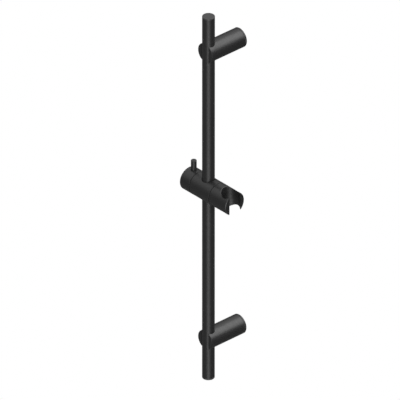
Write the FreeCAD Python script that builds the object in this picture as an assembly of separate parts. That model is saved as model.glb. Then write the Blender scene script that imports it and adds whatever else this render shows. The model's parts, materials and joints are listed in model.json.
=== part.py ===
import FreeCAD, Part
import os

from FreeCAD import Vector

# Shower slide rail, millimetres. The wall is the plane y = 0 and the object stands in front of it, at
# negative y, with +x to the right of someone facing the wall. The origin lies on the wall, midway
# between the axes of the two brackets.

# Rail
rail_d = 20.0
rail_wall = 1.5
rail_length = 660.0  # over both end caps
rail_top_overhang = 64.4  # top of the rail above the upper bracket's axis
rail_bottom_overhang = 71.6  # bottom of the rail below the lower bracket's axis
cap_flange = 3.0
cap_plug_length = 10.0
cap_plug_wall = 2.0
cap_fit = 0.05

# Wall brackets
rail_to_wall = 65.5  # rail axis to wall
post_d = 33.0
post_front = 7.0  # flat front ahead of the rail's axis, so the rail shows through it
mouth_lip = 0.8  # straight wall of that opening, in place of a knife edge
post_drill_d = 14.0
post_web = 9.0  # solid between the rail's bore and the drilling behind it
post_rail_fit = 0.05
base_ring = 3.0  # part of the wall base that stays in sight
base_spigot_d = 23.0
base_spigot_length = 12.0
base_spigot_fit = 0.1
base_floor = 4.0  # metal under the wall screw's head
wall_screw_hole_d = 5.5
wall_screw_head_d = 11.0

# Slider barrel: knob, body and handset holder share one diameter
slider_d = 39.3
slider_height = 12.6  # barrel axis above the middle between the brackets
body_left = 23.0  # rail axis to the body's knob end
body_right = 21.5  # rail axis to the body's holder end
rail_land_gap = 0.4  # round the rail, at both ends of each guide bush
collar_length = 3.0  # body's collar in the knob's recess, so that no light shows between the two
collar_wall = 2.5
collar_gap = 0.3

# Guide bushes
bush_wall = 1.1
bush_running_gap = 0.08
bush_seat_fit = 0.05
bush_recess = 1.5  # below the lowest point of the bore's rim
bush_shoulder = 1.2  # body metal between a bush and the shoe's pocket
bush_end_play = 0.1
bush_slit = 5.4  # lets a bush be squeezed in through the bore

# Clamp: knob, pin, spindle and brake shoe
knob_gap = 0.9
knob_length = 21.3
knob_recess_depth = 4.5
knob_rim = 4.0
knob_boss_wall = 4.0
knob_pin_d = 9.2
knob_pin_top = 36.9  # above the barrel's axis
knob_pin_inset = 10.3  # pin axis from the knob's inner face
knob_pin_seat = 5.0  # depth of the pin's seat below the top of the knob
pin_stud_d = 6.0
stud_bite = 1.5  # depth of the stud's seat in the spindle
spindle_d = 8.0
spindle_in_knob = 15.0
spindle_point_d = 5.0
spindle_point_length = 2.0
thread_lead = 1.25
knob_turn_deg = 90.0
clamp_fit = 0.05
shoe_d = 13.7
shoe_thickness = 5.2
shoe_rail_gap = 0.3
shoe_pocket_fit = 0.15
shoe_back_gap = 0.3  # left behind the shoe when the knob is fully loose

# Handset holder
holder_gap = 0.6
holder_length = 39.3
socket_d = 30.0
socket_inset = 9.9  # socket axis from the holder's outer end, less than its radius, so it opens there
stem_d = 14.0
stem_length = 9.1
stem_end_gap = 0.5
stem_fit = 0.08
washer_thickness = 0.5
washer_inset = 2.5  # washer's rim below the barrel's surface
ring_section = 1.7
ring_fit = 0.05
ring_groove_width = 2.2
ring_groove_inset = 0.9  # groove's edge from the holder's face

# Set screws, all with a hexagon socket and a dog point
small_screw_d = 5.0
small_screw_point_d = 3.5
small_screw_point = 1.2
small_screw_key = 2.5
retaining_screw_body = 8.0
rail_screw_d = 6.0
rail_screw_point_d = 4.0
rail_screw_body = 8.0
rail_screw_key = 3.0
key_depth_ratio = 0.5  # of the screw's thread diameter
screw_fit = 0.05
point_side_gap = 0.3
point_end_gap = 0.3
screw_sink = 0.6  # screw's key end below the surface it is driven from

# Edges
edge_break = 0.4
small_edge = 0.2
seam_edge = 0.15  # where two pieces of the barrel meet
holder_end_edge = 0.9
cap_edge = 0.6

X = Vector(1, 0, 0)
Y = Vector(0, 1, 0)
Z = Vector(0, 0, 1)
ORIGIN = Vector(0, 0, 0)

# Worked out from the sizes above
bracket_spacing = rail_length - rail_top_overhang - rail_bottom_overhang
rail_r = rail_d / 2
post_r = post_d / 2
slider_r = slider_d / 2
spigot_r = base_spigot_d / 2
post_rear = rail_to_wall - base_ring
screw_groove_y = post_rear - base_spigot_length / 2
screw_groove_depth = small_screw_point + point_end_gap
point_groove_width = small_screw_point_d + 2 * point_side_gap
rail_bore_r = rail_r + post_rail_fit
mouth_half = (rail_bore_r**2 - (post_front - mouth_lip) ** 2) ** 0.5

bush_inner_r = rail_r + bush_running_gap
bush_outer_r = bush_inner_r + bush_wall
bush_seat_r = bush_outer_r + bush_seat_fit
shoe_pocket_r = shoe_d / 2 + shoe_pocket_fit
land_half = shoe_pocket_r + bush_shoulder
slider_bore_r = rail_r + rail_land_gap
bush_outer_end = (slider_r**2 - slider_bore_r**2) ** 0.5 - bush_recess

feed_travel = thread_lead * knob_turn_deg / 360
shoe_face = rail_r + shoe_rail_gap
shoe_back = shoe_face + shoe_thickness
shoe_pocket_floor = shoe_back + feed_travel + shoe_back_gap
knob_inner = -body_left - knob_gap
knob_outer = knob_inner - knob_length
knob_pin_x = knob_inner - knob_pin_inset
spindle_end = knob_inner - spindle_in_knob
spindle_r = spindle_d / 2
pin_seat_z = slider_r - knob_pin_seat
stud_tip_z = spindle_r - stud_bite

holder_inner = body_right + holder_gap
holder_outer = holder_inner + holder_length
socket_x = holder_outer - socket_inset
stem_r = stem_d / 2
stem_end = holder_inner - stem_length
stem_bore_r = stem_r + stem_fit
stem_bore_floor = stem_end - stem_end_gap
ring_groove_end = holder_inner - ring_groove_inset
ring_groove_start = ring_groove_end - ring_groove_width
retaining_screw_x = (stem_end + ring_groove_start) / 2
ring_outer_r = stem_bore_r - ring_fit
ring_mid_r = ring_outer_r - ring_section / 2
ring_groove_r = ring_outer_r - ring_section - ring_fit


def turned(profile, base, axis):
    """Revolve a closed profile of (distance along the axis, radius) points about the axis through base."""
    corners = [Vector(radius, 0, along) for along, radius in profile]
    face = Part.Face(Part.makePolygon(corners + corners[:1]))
    solid = face.revolve(ORIGIN, Z, 360)
    solid.Placement = FreeCAD.Placement(base, FreeCAD.Rotation(Z, axis))
    return solid


def drill(radius, base, axis, length):
    """A plain cylinder to cut with."""
    return Part.makeCylinder(radius, length, base, axis)


def set_screw(thread_d, point_d, point_length, body_length, key_size, tip, axis):
    """A set screw whose dog point ends at tip and whose key end lies along axis."""
    end = point_length + body_length
    thread_r = thread_d / 2
    point_r = point_d / 2
    profile = [
        (0, 0),
        (0, point_r - small_edge),
        (small_edge, point_r),
        (point_length, point_r),
        (point_length, thread_r - small_edge),
        (point_length + small_edge, thread_r),
        (end - small_edge, thread_r),
        (end, thread_r - small_edge),
        (end, 0),
    ]
    screw = turned(profile, ORIGIN, Z)
    key_corner = key_size / 3**0.5
    hexagon = [FreeCAD.Rotation(Z, 60 * n).multVec(Vector(key_corner, 0, end)) for n in range(7)]
    key_depth = thread_d * key_depth_ratio
    key = Part.Face(Part.makePolygon(hexagon)).extrude(Z * -key_depth)
    screw = screw.cut(key)
    screw.Placement = FreeCAD.Placement(tip, FreeCAD.Rotation(Z, axis))
    return screw


def break_rims(solid, near):
    """Chamfer the curved rims, where near(edge's box) is true, that a cross bore leaves on a barrel."""
    rims = [e for e in solid.Edges if not isinstance(e.Curve, (Part.Line, Part.Circle)) and near(e.BoundBox)]
    return solid.makeChamfer(edge_break, rims)


def rail_tube(top, bottom, screw_heights):
    tube = drill(rail_r, Vector(0, 0, bottom), Z, top - bottom)
    tube = tube.cut(drill(rail_r - rail_wall, Vector(0, 0, bottom), Z, top - bottom))
    for height in screw_heights:
        hole_r = rail_screw_point_d / 2 + point_side_gap
        tube = tube.cut(drill(hole_r, Vector(0, 0, height), Y, rail_d))
    return tube


def end_cap(seat, outward):
    """A moulded plug: a flange as wide as the rail, rounded outside, and a hollow spigot inside it."""
    plug_r = rail_r - rail_wall - cap_fit
    profile = [
        (cap_flange, 0),
        (cap_flange, rail_r),
        (small_edge, rail_r),
        (0, rail_r - small_edge),
        (0, plug_r),
        (edge_break - cap_plug_length, plug_r),
        (-cap_plug_length, plug_r - edge_break),
        (-cap_plug_length, plug_r - cap_plug_wall),
        (0, plug_r - cap_plug_wall),
        (0, 0),
    ]
    cap = turned(profile, seat, outward)
    rim = max(cap.Edges, key=lambda edge: edge.BoundBox.Center.dot(outward))
    return cap.makeFillet(cap_edge, [rim])


def bracket_post():
    """A turned post along y, bored across for the rail and from behind for the wall base."""
    seat_r = spigot_r + base_spigot_fit
    seat_floor = post_rear - base_spigot_length - base_spigot_fit
    drill_floor = rail_bore_r + post_web
    profile = [
        (-post_front, 0),
        (-post_front, post_r - small_edge),
        (small_edge - post_front, post_r),
        (post_rear - edge_break, post_r),
        (post_rear, post_r - edge_break),
        (post_rear, seat_r),
        (seat_floor, seat_r),
        (seat_floor, post_drill_d / 2),
        (drill_floor, post_drill_d / 2),
        (drill_floor, 0),
    ]
    post = turned(profile, ORIGIN, Y)
    post = post.cut(drill(rail_bore_r, Vector(0, 0, -post_d), Z, 2 * post_d))
    mouth_corner = Vector(-mouth_half, mouth_lip - post_front - post_d, -post_d)
    post = post.cut(Part.makeBox(2 * mouth_half, post_d, 2 * post_d, mouth_corner))
    post = post.cut(drill(rail_screw_d / 2 + screw_fit, ORIGIN, Y, drill_floor))
    base_screw_hole = drill(small_screw_d / 2 + screw_fit, Vector(0, screw_groove_y, 0), -Z, post_d)
    return post.cut(base_screw_hole)


def wall_base():
    """A ring against the wall with a hollow spigot that the post slides over."""
    groove_r = spigot_r - screw_groove_depth
    groove_rear = screw_groove_y + point_groove_width / 2
    groove_front = screw_groove_y - point_groove_width / 2
    spigot_front = post_rear - base_spigot_length
    head_floor = rail_to_wall - base_floor
    profile = [
        (rail_to_wall, wall_screw_hole_d / 2),
        (rail_to_wall, post_r - small_edge),
        (rail_to_wall - small_edge, post_r),
        (post_rear + edge_break, post_r),
        (post_rear, post_r - edge_break),
        (post_rear, spigot_r),
        (groove_rear, spigot_r),
        (groove_rear, groove_r),
        (groove_front, groove_r),
        (groove_front, spigot_r),
        (spigot_front + edge_break, spigot_r),
        (spigot_front, spigot_r - edge_break),
        (spigot_front, wall_screw_head_d / 2),
        (head_floor, wall_screw_head_d / 2),
        (head_floor, wall_screw_hole_d / 2),
    ]
    return turned(profile, ORIGIN, Y)


def rail_screw():
    """Locks the rail from behind: its point reaches through the tube's wall."""
    thread_start = rail_bore_r + point_end_gap
    point_length = thread_start - rail_r + rail_wall + point_end_gap
    tip = Vector(0, thread_start - point_length, 0)
    return set_screw(
        rail_screw_d, rail_screw_point_d, point_length, rail_screw_body, rail_screw_key, tip, Y
    )


def base_screw():
    """Holds the post on its base: driven from below, its point in the spigot's groove."""
    tip_depth = spigot_r - small_screw_point
    body_length = post_r - screw_sink - spigot_r - base_spigot_fit
    point_length = small_screw_point + base_spigot_fit
    tip = Vector(0, screw_groove_y, -tip_depth)
    return set_screw(
        small_screw_d, small_screw_point_d, point_length, body_length, small_screw_key, tip, -Z
    )


def guide_bush(side):
    """A split sleeve round the rail, in a groove above the shoe (side 1) or below it (side -1)."""
    start = land_half + bush_end_play
    profile = [
        (start, bush_inner_r),
        (start, bush_outer_r),
        (bush_outer_end - small_edge, bush_outer_r),
        (bush_outer_end, bush_outer_r - small_edge),
        (bush_outer_end, bush_inner_r + small_edge),
        (bush_outer_end - small_edge, bush_inner_r),
    ]
    bush = turned(profile, ORIGIN, Z * side)
    slit = Part.makeBox(bush_slit, rail_d, slider_d, Vector(-bush_slit / 2, 0, -slider_r))
    return bush.cut(slit)


def barrel_profile(start, end, start_edge, end_edge):
    """A plain turned bar of the slider's diameter with each end's edge chamfered."""
    return [
        (start, 0),
        (start, slider_r - start_edge),
        (start + start_edge, slider_r),
        (end - end_edge, slider_r),
        (end, slider_r - end_edge),
        (end, 0),
    ]


def slider_body():
    """The barrel's middle: bored upright for the rail and lengthwise for clamp and holder."""
    collar_r = slider_r - knob_rim - collar_gap
    collar_end = -body_left - collar_length
    profile = [
        (-body_left, 0),
        (-body_left, collar_r - collar_wall),
        (collar_end, collar_r - collar_wall),
        (collar_end, collar_r - small_edge),
        (collar_end + small_edge, collar_r),
        (-body_left, collar_r),
    ] + barrel_profile(-body_left, body_right, seam_edge, seam_edge)[1:]
    body = turned(profile, ORIGIN, X)
    body = body.cut(drill(slider_bore_r, Vector(0, 0, -slider_r), Z, slider_d))
    seat_length = bush_outer_end + bush_end_play - land_half
    for side in (Z, -Z):
        body = body.cut(drill(bush_seat_r, side * land_half, side, seat_length))
    body = body.cut(drill(shoe_pocket_r, ORIGIN, -X, shoe_pocket_floor))
    body = body.cut(drill(spindle_r + clamp_fit, ORIGIN, -X, slider_d))
    body = body.cut(drill(stem_bore_r, Vector(stem_bore_floor, 0, 0), X, slider_d))
    screw_hole_r = small_screw_d / 2 + screw_fit
    body = body.cut(drill(screw_hole_r, Vector(retaining_screw_x, 0, 0), -Z, slider_d))
    return break_rims(body, lambda box: box.XLength > slider_bore_r and abs(box.Center.z) > bush_outer_end)


def retaining_screw():
    """Keeps the holder in: driven from below, its point in the stem's groove."""
    point_length = small_screw_point + stem_fit
    tip = Vector(retaining_screw_x, 0, small_screw_point - stem_r)
    return set_screw(
        small_screw_d, small_screw_point_d, point_length, retaining_screw_body, small_screw_key, tip, -Z
    )


def brake_shoe():
    """A round pad, hollowed to the rail's curve, with a seat for the spindle's point."""
    profile = [
        (0, 0),
        (0, shoe_d / 2),
        (shoe_back - small_edge, shoe_d / 2),
        (shoe_back, shoe_d / 2 - small_edge),
        (shoe_back, 0),
    ]
    shoe = turned(profile, ORIGIN, -X)
    shoe = shoe.cut(drill(shoe_face, Vector(0, 0, -shoe_d), Z, 2 * shoe_d))
    seat_floor = shoe_back - spindle_point_length - clamp_fit
    return shoe.cut(drill(spindle_point_d / 2 + clamp_fit, Vector(-seat_floor, 0, 0), -X, shoe_back))


def clamp_spindle():
    """The threaded shaft from the knob to the shoe, with a seat for the pin's stud."""
    shoulder = -shoe_back - clamp_fit
    point = shoulder + spindle_point_length
    point_r = spindle_point_d / 2
    profile = [
        (spindle_end, 0),
        (spindle_end, spindle_r - edge_break),
        (spindle_end + edge_break, spindle_r),
        (shoulder, spindle_r),
        (shoulder, point_r),
        (point - small_edge, point_r),
        (point, point_r - small_edge),
        (point, 0),
    ]
    spindle = turned(profile, ORIGIN, X)
    seat = Vector(knob_pin_x, 0, stud_tip_z - clamp_fit)
    return spindle.cut(drill(pin_stud_d / 2 + clamp_fit, seat, Z, spindle_d))


def clamp_knob():
    """The barrel's turning end, hollowed from inside round a boss for the spindle."""
    bore_r = spindle_r + clamp_fit
    boss_r = bore_r + knob_boss_wall
    rim_r = slider_r - knob_rim
    recess_floor = knob_inner - knob_recess_depth
    bore_floor = spindle_end - clamp_fit
    profile = barrel_profile(knob_outer, knob_inner, edge_break, seam_edge)[:-1] + [
        (knob_inner, rim_r),
        (recess_floor, rim_r),
        (recess_floor, boss_r),
        (knob_inner, boss_r),
        (knob_inner, bore_r),
        (bore_floor, bore_r),
        (bore_floor, 0),
    ]
    knob = turned(profile, ORIGIN, X)
    pin_seat = Vector(knob_pin_x, 0, pin_seat_z)
    knob = knob.cut(drill(knob_pin_d / 2 + clamp_fit, pin_seat, Z, slider_r))
    knob = knob.cut(drill(pin_stud_d / 2 + clamp_fit, Vector(knob_pin_x, 0, 0), Z, slider_r))
    return break_rims(knob, lambda box: box.Center.z > pin_seat_z)


def knob_pin():
    """The upright lever, with a stud that locks the knob to the spindle."""
    pin_r = knob_pin_d / 2
    stud_r = pin_stud_d / 2
    profile = [
        (stud_tip_z, 0),
        (stud_tip_z, stud_r - small_edge),
        (stud_tip_z + small_edge, stud_r),
        (pin_seat_z, stud_r),
        (pin_seat_z, pin_r),
        (knob_pin_top - edge_break, pin_r),
        (knob_pin_top, pin_r - edge_break),
        (knob_pin_top, 0),
    ]
    return turned(profile, Vector(knob_pin_x, 0, 0), Z)


def handset_holder():
    """The barrel's tilting end: a stem with two grooves and an upright socket open at the outer end."""
    point_groove_r = stem_r - screw_groove_depth
    point_groove_start = retaining_screw_x - point_groove_width / 2
    point_groove_end = retaining_screw_x + point_groove_width / 2
    profile = [
        (stem_end, 0),
        (stem_end, stem_r - edge_break),
        (stem_end + edge_break, stem_r),
        (point_groove_start, stem_r),
        (point_groove_start, point_groove_r),
        (point_groove_end, point_groove_r),
        (point_groove_end, stem_r),
        (ring_groove_start, stem_r),
        (ring_groove_start, ring_groove_r),
        (ring_groove_end, ring_groove_r),
        (ring_groove_end, stem_r),
        (holder_inner, stem_r),
    ] + barrel_profile(holder_inner, holder_outer, seam_edge, holder_end_edge)[1:]
    holder = turned(profile, ORIGIN, X)
    holder = holder.cut(drill(socket_d / 2, Vector(socket_x, 0, -slider_d), Z, 2 * slider_d))
    return break_rims(holder, lambda box: box.Center.x > holder_inner)


def friction_washer():
    clearance = (holder_gap - washer_thickness) / 2
    start = body_right + clearance
    end = holder_inner - clearance
    inner_r = stem_r + edge_break
    outer_r = slider_r - washer_inset
    profile = [(start, inner_r), (start, outer_r), (end, outer_r), (end, inner_r)]
    return turned(profile, ORIGIN, X)


def holder_o_ring():
    middle = (ring_groove_start + ring_groove_end) / 2
    return Part.makeTorus(ring_mid_r, ring_section / 2, Vector(middle, 0, 0), X)


# Every piece, built about the point where it meets the rail's axis, then moved to its place
upper_z = bracket_spacing / 2
lower_z = -bracket_spacing / 2
rail_top = upper_z + rail_top_overhang
rail_bottom = lower_z - rail_bottom_overhang
tube_top = rail_top - cap_flange
tube_bottom = rail_bottom + cap_flange
rail_foot = Vector(0, -rail_to_wall, 0)
slider_place = rail_foot + Z * slider_height

pieces = {
    "rail_tube": (rail_tube(tube_top, tube_bottom, (upper_z, lower_z)), rail_foot),
    "top_end_cap": (end_cap(Z * tube_top, Z), rail_foot),
    "bottom_end_cap": (end_cap(Z * tube_bottom, -Z), rail_foot),
    "upper_guide_bush": (guide_bush(1), slider_place),
    "lower_guide_bush": (guide_bush(-1), slider_place),
    "slider_body": (slider_body(), slider_place),
    "holder_retaining_screw": (retaining_screw(), slider_place),
    "brake_shoe": (brake_shoe(), slider_place),
    "clamp_spindle": (clamp_spindle(), slider_place),
    "clamp_knob": (clamp_knob(), slider_place),
    "knob_pin": (knob_pin(), slider_place),
    "handset_holder": (handset_holder(), slider_place),
    "friction_washer": (friction_washer(), slider_place),
    "holder_o_ring": (holder_o_ring(), slider_place),
}
for end, height in (("upper", upper_z), ("lower", lower_z)):
    bracket_place = rail_foot + Z * height
    pieces[end + "_bracket_post"] = (bracket_post(), bracket_place)
    pieces[end + "_wall_base"] = (wall_base(), bracket_place)
    pieces[end + "_rail_screw"] = (rail_screw(), bracket_place)
    pieces[end + "_base_screw"] = (base_screw(), bracket_place)

os.makedirs("parts", exist_ok=True)
for name, (shape, place) in pieces.items():
    shape.translate(place)
    shape.exportStep("parts/" + name + ".step")
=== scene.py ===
import json
import math

import bmesh
import bpy
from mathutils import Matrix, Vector


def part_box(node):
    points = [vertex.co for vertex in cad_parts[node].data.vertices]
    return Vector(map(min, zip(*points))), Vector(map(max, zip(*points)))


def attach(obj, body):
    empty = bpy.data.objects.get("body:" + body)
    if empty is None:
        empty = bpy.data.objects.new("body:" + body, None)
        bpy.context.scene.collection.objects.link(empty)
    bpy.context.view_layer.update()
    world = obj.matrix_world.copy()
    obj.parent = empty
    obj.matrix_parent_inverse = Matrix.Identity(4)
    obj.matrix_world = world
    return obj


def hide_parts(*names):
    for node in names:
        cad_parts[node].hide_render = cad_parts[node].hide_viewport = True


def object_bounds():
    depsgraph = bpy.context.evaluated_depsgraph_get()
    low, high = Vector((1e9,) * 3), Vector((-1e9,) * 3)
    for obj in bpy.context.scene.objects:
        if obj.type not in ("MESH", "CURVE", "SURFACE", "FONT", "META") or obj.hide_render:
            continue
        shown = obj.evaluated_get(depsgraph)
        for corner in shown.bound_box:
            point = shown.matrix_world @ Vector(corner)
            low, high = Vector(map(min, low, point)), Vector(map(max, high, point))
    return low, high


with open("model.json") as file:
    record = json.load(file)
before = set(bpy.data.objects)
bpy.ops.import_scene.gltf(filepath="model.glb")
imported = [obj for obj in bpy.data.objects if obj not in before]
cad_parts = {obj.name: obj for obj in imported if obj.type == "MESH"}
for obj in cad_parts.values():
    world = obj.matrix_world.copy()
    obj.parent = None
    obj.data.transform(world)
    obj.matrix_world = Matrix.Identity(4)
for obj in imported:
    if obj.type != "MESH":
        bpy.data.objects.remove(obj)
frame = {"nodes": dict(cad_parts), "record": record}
cad_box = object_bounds()
nodes = frame["nodes"]

# Photograph's view: a long lens, close to a parallel view, in metres and degrees
VIEW_AZIMUTH = 48.04
VIEW_ELEVATION = 31.60
FRAME_WIDTH = 0.6230  # width of the picture at the rail
LENS_MM = 1600.0
SENSOR_MM = 36.0
AIM_RIGHT = -0.0132  # picture's middle from the rail's middle, along the picture
AIM_UP = -0.0067
RAIL_MIDDLE = Vector((0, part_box("rail_tube")[0].y / 2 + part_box("rail_tube")[1].y / 2, 0))

# Studio: a light ceiling, a dim room with a paler left side, a key light behind and a wide light in front
WHITE = (1, 1, 1, 1)
CEILING_LEVEL = 0.956
ROOM_LEVEL = 0.118
CEILING_FROM = 0.108  # height of a direction, as a sine, where the ceiling starts to show
CEILING_TO = 0.791
LEFT_DIRECTION = Vector((-0.66, -0.72, -0.2))
LEFT_FROM = 0.2  # cosine of the angle to that direction where the paler side starts
LEFT_LEVEL = 0.088  # added to the room's level
CARD_SPREAD = 16.0  # degrees, a white card behind the object as the camera sees it
KEY_DIRECTION = Vector((0.303, 0.699, 0.648))
KEY_SPREAD = 60.0  # degrees
KEY_STRENGTH = 1.72
FRONT_DIRECTION = Vector((0.736, -0.658, -0.160))
FRONT_SPREAD = 51.0  # degrees
FRONT_STRENGTH = 1.49
FLOOR_DROP = 0.9  # floor below the rail's lower end
FLOOR_RADIUS = 0.4
FLOOR_CORNERS = 96
FLOOR_PALE = 0.82
FLOOR_ROUGHNESS = 0.9
FLOOR_LIFT = 0.15  # takes the lit floor to white where it is seen

# Finishes: sizes and heights of patterns in metres, colours with their alpha
COLOUR_STOPS = (0.35, 0.65)  # levels of a pattern where the colour is all dark and all pale
ROUGHNESS_STOPS = (0.3, 0.7)  # levels where the roughness is least and most
DIAGONAL_WAVE = math.tau / (10 * math.sqrt(3))  # length of a diagonal wave at a scale of 1
COAT_DARK = (0.011, 0.011, 0.0112, 1)
COAT_PALE = (0.0126, 0.0126, 0.0128, 1)
COAT_SPECULAR = 0.666
COAT_SMOOTHEST = 0.385
COAT_ROUGHEST = 0.445
COAT_CLOUD = 0.04
COAT_WAVE = 0.004
COAT_WAVE_HEIGHT = 0.00001
COAT_GRAIN = 0.00035
COAT_GRAIN_HEIGHT = 0.000012
CAP_DARK = (0.032, 0.032, 0.0326, 1)
CAP_PALE = (0.037, 0.037, 0.0376, 1)
CAP_SPECULAR = 0.7
CAP_SMOOTHEST = 0.36
CAP_ROUGHEST = 0.44
CAP_CLOUD = 0.006
CAP_SPARK = 0.0005
CAP_SPARK_HEIGHT = 0.00002
ACETAL_DARK = (0.014, 0.014, 0.015, 1)
ACETAL_PALE = (0.018, 0.018, 0.019, 1)
ACETAL_SPECULAR = 0.5
ACETAL_SMOOTHEST = 0.3
ACETAL_ROUGHEST = 0.4
ACETAL_FLOW = 0.003
ACETAL_TOOL_LINE = 0.0003
ACETAL_TOOL_LINE_HEIGHT = 0.000004
ACETAL_UNEVENNESS = 1.0  # of the tool lines
RUBBER_DARK = (0.012, 0.012, 0.012, 1)
RUBBER_PALE = (0.02, 0.02, 0.02, 1)
RUBBER_SPECULAR = 0.4
RUBBER_SMOOTHEST = 0.62
RUBBER_ROUGHEST = 0.75
RUBBER_BLOOM = 0.003
RUBBER_GRAIN = 0.0002
RUBBER_GRAIN_HEIGHT = 0.00001
STEEL_DARK = (0.48, 0.48, 0.49, 1)
STEEL_PALE = (0.6, 0.6, 0.61, 1)
STEEL_SPECULAR = 0.5
STEEL_SMOOTHEST = 0.26
STEEL_ROUGHEST = 0.36
STEEL_GRAIN = 0.00012
STEEL_GRAIN_HEIGHT = 0.000002

# Threads, right-handed: pitches in metres, depth, crest and overcut as shares of the pitch
SMALL_SCREW_PITCH = 0.0008
RAIL_SCREW_PITCH = 0.001
SPINDLE_PITCH = 0.00125
THREAD_DEPTH = 0.61
THREAD_CREST = 0.125
THREAD_OVERCUT = 0.05  # cutting past the screw's surface
THREAD_STEPS = 32  # to a turn
FLANK_ANGLE = math.radians(30)  # between a flank and a plane square to the axis

# Seam between slider body and holder, widened by a step at the holder's end, in metres
SEAM_STEP = 0.0006
SEAM_OVERCUT = 0.0005  # cutting past the holder's surface
SEAM_STEPS = 160  # to a turn

# Meshes after cutting
WELD = 0.000001  # corners this near become one
SMOOTH_BELOW = math.radians(30)  # angle between faces that look like one


def view_axes(azimuth, elevation):
    """Right, up and towards the camera, for a camera that looks along +Y at azimuth 0."""
    turn = math.radians(azimuth)
    tilt = math.radians(elevation)
    right = Vector((math.cos(turn), math.sin(turn), 0))
    back = Vector((math.sin(turn) * math.cos(tilt), -math.cos(turn) * math.cos(tilt), math.sin(tilt)))
    return right, back.cross(right), back


def add_camera():
    right, up, back = view_axes(VIEW_AZIMUTH, VIEW_ELEVATION)
    data = bpy.data.cameras.new("camera")
    data.lens = LENS_MM
    data.sensor_width = SENSOR_MM
    distance = FRAME_WIDTH * LENS_MM / SENSOR_MM
    data.clip_end = 2 * distance
    camera = bpy.data.objects.new("camera", data)
    camera.location = RAIL_MIDDLE + right * AIM_RIGHT + up * AIM_UP + back * distance
    camera.rotation_euler = (-back).to_track_quat("-Z", "Y").to_euler()
    bpy.context.scene.collection.objects.link(camera)
    bpy.context.scene.camera = camera


def add_sun(name, direction, spread, strength):
    """A soft light of that angular width, from that direction."""
    data = bpy.data.lights.new(name, "SUN")
    data.energy = strength
    data.angle = math.radians(spread)
    sun = bpy.data.objects.new(name, data)
    sun.rotation_euler = direction.to_track_quat("Z", "Y").to_euler()
    bpy.context.scene.collection.objects.link(sun)


def feed(tree, socket, value):
    """Sets an input to a value, or links another node's output to it."""
    if isinstance(value, bpy.types.NodeSocket):
        tree.links.new(value, socket)
    else:
        socket.default_value = value


def node(tree, kind, **inputs):
    """A shader node with some of its inputs fed, by their names."""
    made = tree.nodes.new("ShaderNode" + kind)
    for name, value in inputs.items():
        feed(tree, made.inputs[name.replace("_", " ")], value)
    return made


def math_node(tree, operation, *values):
    made = node(tree, "Math")
    made.operation = operation
    for socket, value in zip(made.inputs, values):
        feed(tree, socket, value)
    return made.outputs["Value"]


def smooth_step(tree, value, low, high, **results):
    made = node(tree, "MapRange", Value=value, From_Min=low, From_Max=high, **results)
    made.interpolation_type = "SMOOTHSTEP"
    return made.outputs["Result"]


def towards(tree, vector, direction):
    """How far a vector points in that direction."""
    made = node(tree, "VectorMath")
    made.operation = "DOT_PRODUCT"
    for socket, value in zip(made.inputs, (vector, direction)):
        feed(tree, socket, value)
    return made.outputs["Value"]


def mirrored_rays(tree):
    """1 for rays that a glossy or clear surface has sent on."""
    path = node(tree, "LightPath")
    return math_node(tree, "MAXIMUM", path.outputs["Is Glossy Ray"], path.outputs["Is Transmission Ray"])


def camera_rays(tree):
    return node(tree, "LightPath").outputs["Is Camera Ray"]


def set_world():
    """A studio with a light ceiling, where all that is seen past the object is white."""
    world = bpy.data.worlds.new("studio")
    world.use_nodes = True
    bpy.context.scene.world = world
    tree = world.node_tree
    tree.nodes.clear()
    way = node(tree, "TexCoord").outputs["Generated"]
    height = node(tree, "SeparateXYZ", Vector=way).outputs["Z"]
    room = smooth_step(tree, height, CEILING_FROM, CEILING_TO, To_Min=ROOM_LEVEL, To_Max=CEILING_LEVEL)
    leftness = towards(tree, way, LEFT_DIRECTION)
    left = smooth_step(tree, leftness, LEFT_FROM, 1.0, To_Min=0.0, To_Max=LEFT_LEVEL)
    room = math_node(tree, "ADD", room, left)
    back = view_axes(VIEW_AZIMUTH, VIEW_ELEVATION)[2]
    card_edge = math.cos(math.radians(CARD_SPREAD / 2))
    card = smooth_step(tree, towards(tree, way, -back), card_edge, (1 + card_edge) / 2)
    mirrored_card = math_node(tree, "MULTIPLY", card, mirrored_rays(tree))
    backdrop = math_node(tree, "MAXIMUM", camera_rays(tree), mirrored_card)
    strength = math_node(tree, "MAXIMUM", backdrop, room)
    shader = node(tree, "Background", Color=WHITE, Strength=strength)
    node(tree, "OutputWorld", Surface=shader.outputs["Background"])


def add_floor():
    """A pale round floor well below the object, which hangs on a wall."""
    bpy.ops.mesh.primitive_circle_add(vertices=FLOOR_CORNERS, radius=FLOOR_RADIUS, fill_type="NGON")
    floor = bpy.context.object
    floor.name = "floor"
    floor.location = RAIL_MIDDLE + Vector((0, 0, cad_box[0].z - FLOOR_DROP))
    material = bpy.data.materials.new("pale_floor")
    material.use_nodes = True
    tree = material.node_tree
    shader = tree.nodes["Principled BSDF"]
    shader.inputs["Base Color"].default_value = (FLOOR_PALE, FLOOR_PALE, FLOOR_PALE, 1)
    shader.inputs["Roughness"].default_value = FLOOR_ROUGHNESS
    shader.inputs["Emission Color"].default_value = WHITE
    seen = math_node(tree, "MAXIMUM", camera_rays(tree), mirrored_rays(tree))
    feed(tree, shader.inputs["Emission Strength"], math_node(tree, "MULTIPLY", seen, FLOOR_LIFT))
    floor.data.materials.append(material)


def new_finish(name, specular, metallic=0.0):
    """A material with its node tree and the place on the piece, in metres."""
    material = bpy.data.materials.new(name)
    material.use_nodes = True
    tree = material.node_tree
    shader = tree.nodes["Principled BSDF"]
    shader.inputs["Specular IOR Level"].default_value = specular
    shader.inputs["Metallic"].default_value = metallic
    place = node(tree, "TexCoord").outputs["Object"]
    return material, tree, place


def noise(tree, place, size):
    return node(tree, "TexNoise", Vector=place, Scale=1 / size).outputs["Fac"]


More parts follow.
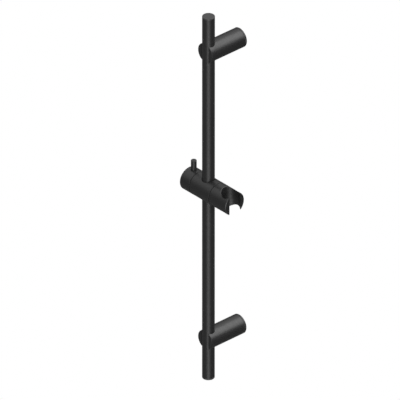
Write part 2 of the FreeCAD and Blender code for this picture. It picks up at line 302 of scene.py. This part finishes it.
def colour_between(tree, pattern, dark, pale):
    ramp = node(tree, "ValToRGB", Fac=pattern)
    for stop, level, colour in zip(ramp.color_ramp.elements, COLOUR_STOPS, (dark, pale)):
        stop.position = level
        stop.color = colour
    feed(tree, tree.nodes["Principled BSDF"].inputs["Base Color"], ramp.outputs["Color"])


def roughness_between(tree, pattern, smoothest, roughest):
    level = smooth_step(tree, pattern, *ROUGHNESS_STOPS, To_Min=smoothest, To_Max=roughest)
    feed(tree, tree.nodes["Principled BSDF"].inputs["Roughness"], level)


def relief(tree, *layers):
    """Bump from layers of (pattern from 0 to 1, its height in metres), the coarsest first."""
    below = {}
    for pattern, height in layers:
        layer = node(tree, "Bump", Height=pattern, Distance=height, **below)
        below = {"Normal": layer.outputs["Normal"]}
    feed(tree, tree.nodes["Principled BSDF"].inputs["Normal"], below["Normal"])


def coated_metal():
    """Fine matt black coating with a slight grain and a soft waviness."""
    material, tree, place = new_finish("coated_metal", COAT_SPECULAR)
    cloud = noise(tree, place, COAT_CLOUD)
    wave = noise(tree, place, COAT_WAVE)
    grain = noise(tree, place, COAT_GRAIN)
    colour_between(tree, cloud, COAT_DARK, COAT_PALE)
    roughness_between(tree, wave, COAT_SMOOTHEST, COAT_ROUGHEST)
    relief(tree, (wave, COAT_WAVE_HEIGHT), (grain, COAT_GRAIN_HEIGHT))
    return material


def cap_plastic():
    """Matt moulded plastic with the texture of a spark-eroded mould."""
    material, tree, place = new_finish("cap_plastic", CAP_SPECULAR)
    cloud = noise(tree, place, CAP_CLOUD)
    spark = node(tree, "TexVoronoi", Vector=place, Scale=1 / CAP_SPARK).outputs["Distance"]
    colour_between(tree, cloud, CAP_DARK, CAP_PALE)
    roughness_between(tree, cloud, CAP_SMOOTHEST, CAP_ROUGHEST)
    relief(tree, (spark, CAP_SPARK_HEIGHT))
    return material


def sliding_plastic():
    """Smooth black acetal with faint flow marks and fine turning lines."""
    material, tree, place = new_finish("sliding_plastic", ACETAL_SPECULAR)
    flow = noise(tree, place, ACETAL_FLOW)
    scale = DIAGONAL_WAVE / ACETAL_TOOL_LINE
    lines = node(tree, "TexWave", Vector=place, Scale=scale, Distortion=ACETAL_UNEVENNESS)
    lines.bands_direction = "DIAGONAL"
    colour_between(tree, flow, ACETAL_DARK, ACETAL_PALE)
    roughness_between(tree, flow, ACETAL_SMOOTHEST, ACETAL_ROUGHEST)
    relief(tree, (lines.outputs["Fac"], ACETAL_TOOL_LINE_HEIGHT))
    return material


def seal_rubber():
    """Moulded rubber with a fine grain and a faint bloom."""
    material, tree, place = new_finish("seal_rubber", RUBBER_SPECULAR)
    bloom = noise(tree, place, RUBBER_BLOOM)
    grain = noise(tree, place, RUBBER_GRAIN)
    colour_between(tree, bloom, RUBBER_DARK, RUBBER_PALE)
    roughness_between(tree, bloom, RUBBER_SMOOTHEST, RUBBER_ROUGHEST)
    relief(tree, (grain, RUBBER_GRAIN_HEIGHT))
    return material


def screw_steel():
    """Machined stainless steel with a fine grain."""
    material, tree, place = new_finish("screw_steel", STEEL_SPECULAR, metallic=1.0)
    grain = noise(tree, place, STEEL_GRAIN)
    colour_between(tree, grain, STEEL_DARK, STEEL_PALE)
    roughness_between(tree, grain, STEEL_SMOOTHEST, STEEL_ROUGHEST)
    relief(tree, (grain, STEEL_GRAIN_HEIGHT))
    return material


def new_object(name, solid):
    mesh = bpy.data.meshes.new(name)
    solid.to_mesh(mesh)
    solid.free()
    made = bpy.data.objects.new(name, mesh)
    bpy.context.scene.collection.objects.link(made)
    return made


def welded(solid):
    """The same bmesh with the corners joined that lie at one point."""
    bmesh.ops.remove_doubles(solid, verts=solid.verts, dist=WELD)
    bmesh.ops.dissolve_degenerate(solid, edges=solid.edges, dist=WELD)
    return solid


def swept_bar(centre, along, section, steps_per_turn, turns=1.0, pitch=0.0):
    """A bar swept round an axis: a ring, or a helix if it has a pitch.

    The section's corners are (distance from the axis, place along it where the bar starts).
    """
    across = (along + 1) % 3
    beside = (along + 2) % 3
    bar = bmesh.new()
    rings = []
    for step in range(round(turns * steps_per_turn)):
        turn = step / steps_per_turn
        ring = []
        for distance, start in section:
            place = centre.copy()
            place[along] = start + turn * pitch
            place[across] += distance * math.cos(math.tau * turn)
            place[beside] += distance * math.sin(math.tau * turn)
            ring.append(bar.verts.new(place))
        rings.append(ring)
    if pitch:
        bar.faces.new(rings[0])
        bar.faces.new(rings[-1])
    else:
        rings.append(rings[0])
    for ring, following in zip(rings, rings[1:]):
        for corner in range(len(section)):
            bar.faces.new((ring[corner - 1], ring[corner], following[corner], following[corner - 1]))
    bmesh.ops.recalc_face_normals(bar, faces=bar.faces)
    return new_object("bar", bar)


def thread_groove(name, axis, pitch):
    """The groove of a screw's thread, a pitch longer than the screw at both ends."""
    low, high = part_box(name)
    along = "XYZ".index(axis)
    across = (along + 1) % 3
    radius = (high[across] - low[across]) / 2
    groove_half = (1 - THREAD_CREST) / 2
    flank_slope = math.tan(FLANK_ANGLE)
    corners = ((-1, -THREAD_DEPTH), (-1, THREAD_OVERCUT), (1, THREAD_OVERCUT), (1, -THREAD_DEPTH))
    section = []
    for side, reach in corners:
        half_width = groove_half + reach * flank_slope
        section.append((radius + reach * pitch, low[along] + (side * half_width - 1) * pitch))
    turns = (high[along] - low[along]) / pitch + 2
    return swept_bar((low + high) / 2, along, section, THREAD_STEPS, turns, pitch)


def seam_ring():
    """What the step takes off the holder: a ring from the washer's rim outwards."""
    washer_low, washer_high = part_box("friction_washer")
    holder_low, holder_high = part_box("handset_holder")
    inner = (washer_high.z - washer_low.z) / 2
    outer = (holder_high.z - holder_low.z) / 2 + SEAM_OVERCUT
    start = washer_low.x
    end = washer_high.x + SEAM_STEP
    section = [(inner, start), (outer, start), (outer, end), (inner, end)]
    return swept_bar((washer_low + washer_high) / 2, 0, section, SEAM_STEPS)


def dress(piece, material):
    piece.data.materials.clear()
    piece.data.materials.append(material)


def machined(name, body, slot, tool):
    """A copy of a piece with the tool's shape cut out of it, in place of the plain one."""
    plain = bmesh.new()
    plain.from_mesh(nodes[name].data)
    blank = new_object("blank", welded(plain))
    cut = blank.modifiers.new("cut", "BOOLEAN")
    cut.operation = "DIFFERENCE"
    cut.solver = "EXACT"
    cut.object = tool
    finished = bmesh.new()
    finished.from_object(blank, bpy.context.evaluated_depsgraph_get())
    piece = new_object("machined_" + name, welded(finished))
    bpy.data.objects.remove(blank)
    bpy.data.objects.remove(tool)
    imported_normals = piece.data.attributes.get("custom_normal")
    if imported_normals:
        piece.data.attributes.remove(imported_normals)
    piece.data.shade_smooth()
    piece.data.set_sharp_from_angle(angle=SMOOTH_BELOW)
    dress(piece, finishes[slot])
    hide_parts(name)
    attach(piece, body)


bpy.context.scene.view_settings.view_transform = "Standard"
add_camera()
set_world()
add_sun("key_light", KEY_DIRECTION, KEY_SPREAD, KEY_STRENGTH)
add_sun("front_light", FRONT_DIRECTION, FRONT_SPREAD, FRONT_STRENGTH)
add_floor()

finishes = {
    "coated_metal": coated_metal(),
    "cap_plastic": cap_plastic(),
    "sliding_plastic": sliding_plastic(),
    "seal_rubber": seal_rubber(),
    "screw_steel": screw_steel(),
}
# Body, axis and pitch of each thread
threads = {
    "upper_rail_screw": ("rail", "Y", RAIL_SCREW_PITCH),
    "lower_rail_screw": ("rail", "Y", RAIL_SCREW_PITCH),
    "upper_base_screw": ("rail", "Z", SMALL_SCREW_PITCH),
    "lower_base_screw": ("rail", "Z", SMALL_SCREW_PITCH),
    "holder_retaining_screw": ("slider", "Z", SMALL_SCREW_PITCH),
    "clamp_spindle": ("knob", "X", SPINDLE_PITCH),
}
for subpart in frame["record"]["subparts"]:
    dress(nodes[subpart["node"]], finishes[subpart["material_slot"]])
for name, (body, axis, pitch) in threads.items():
    machined(name, body, "screw_steel", thread_groove(name, axis, pitch))
machined("handset_holder", "holder", "coated_metal", seam_ring())
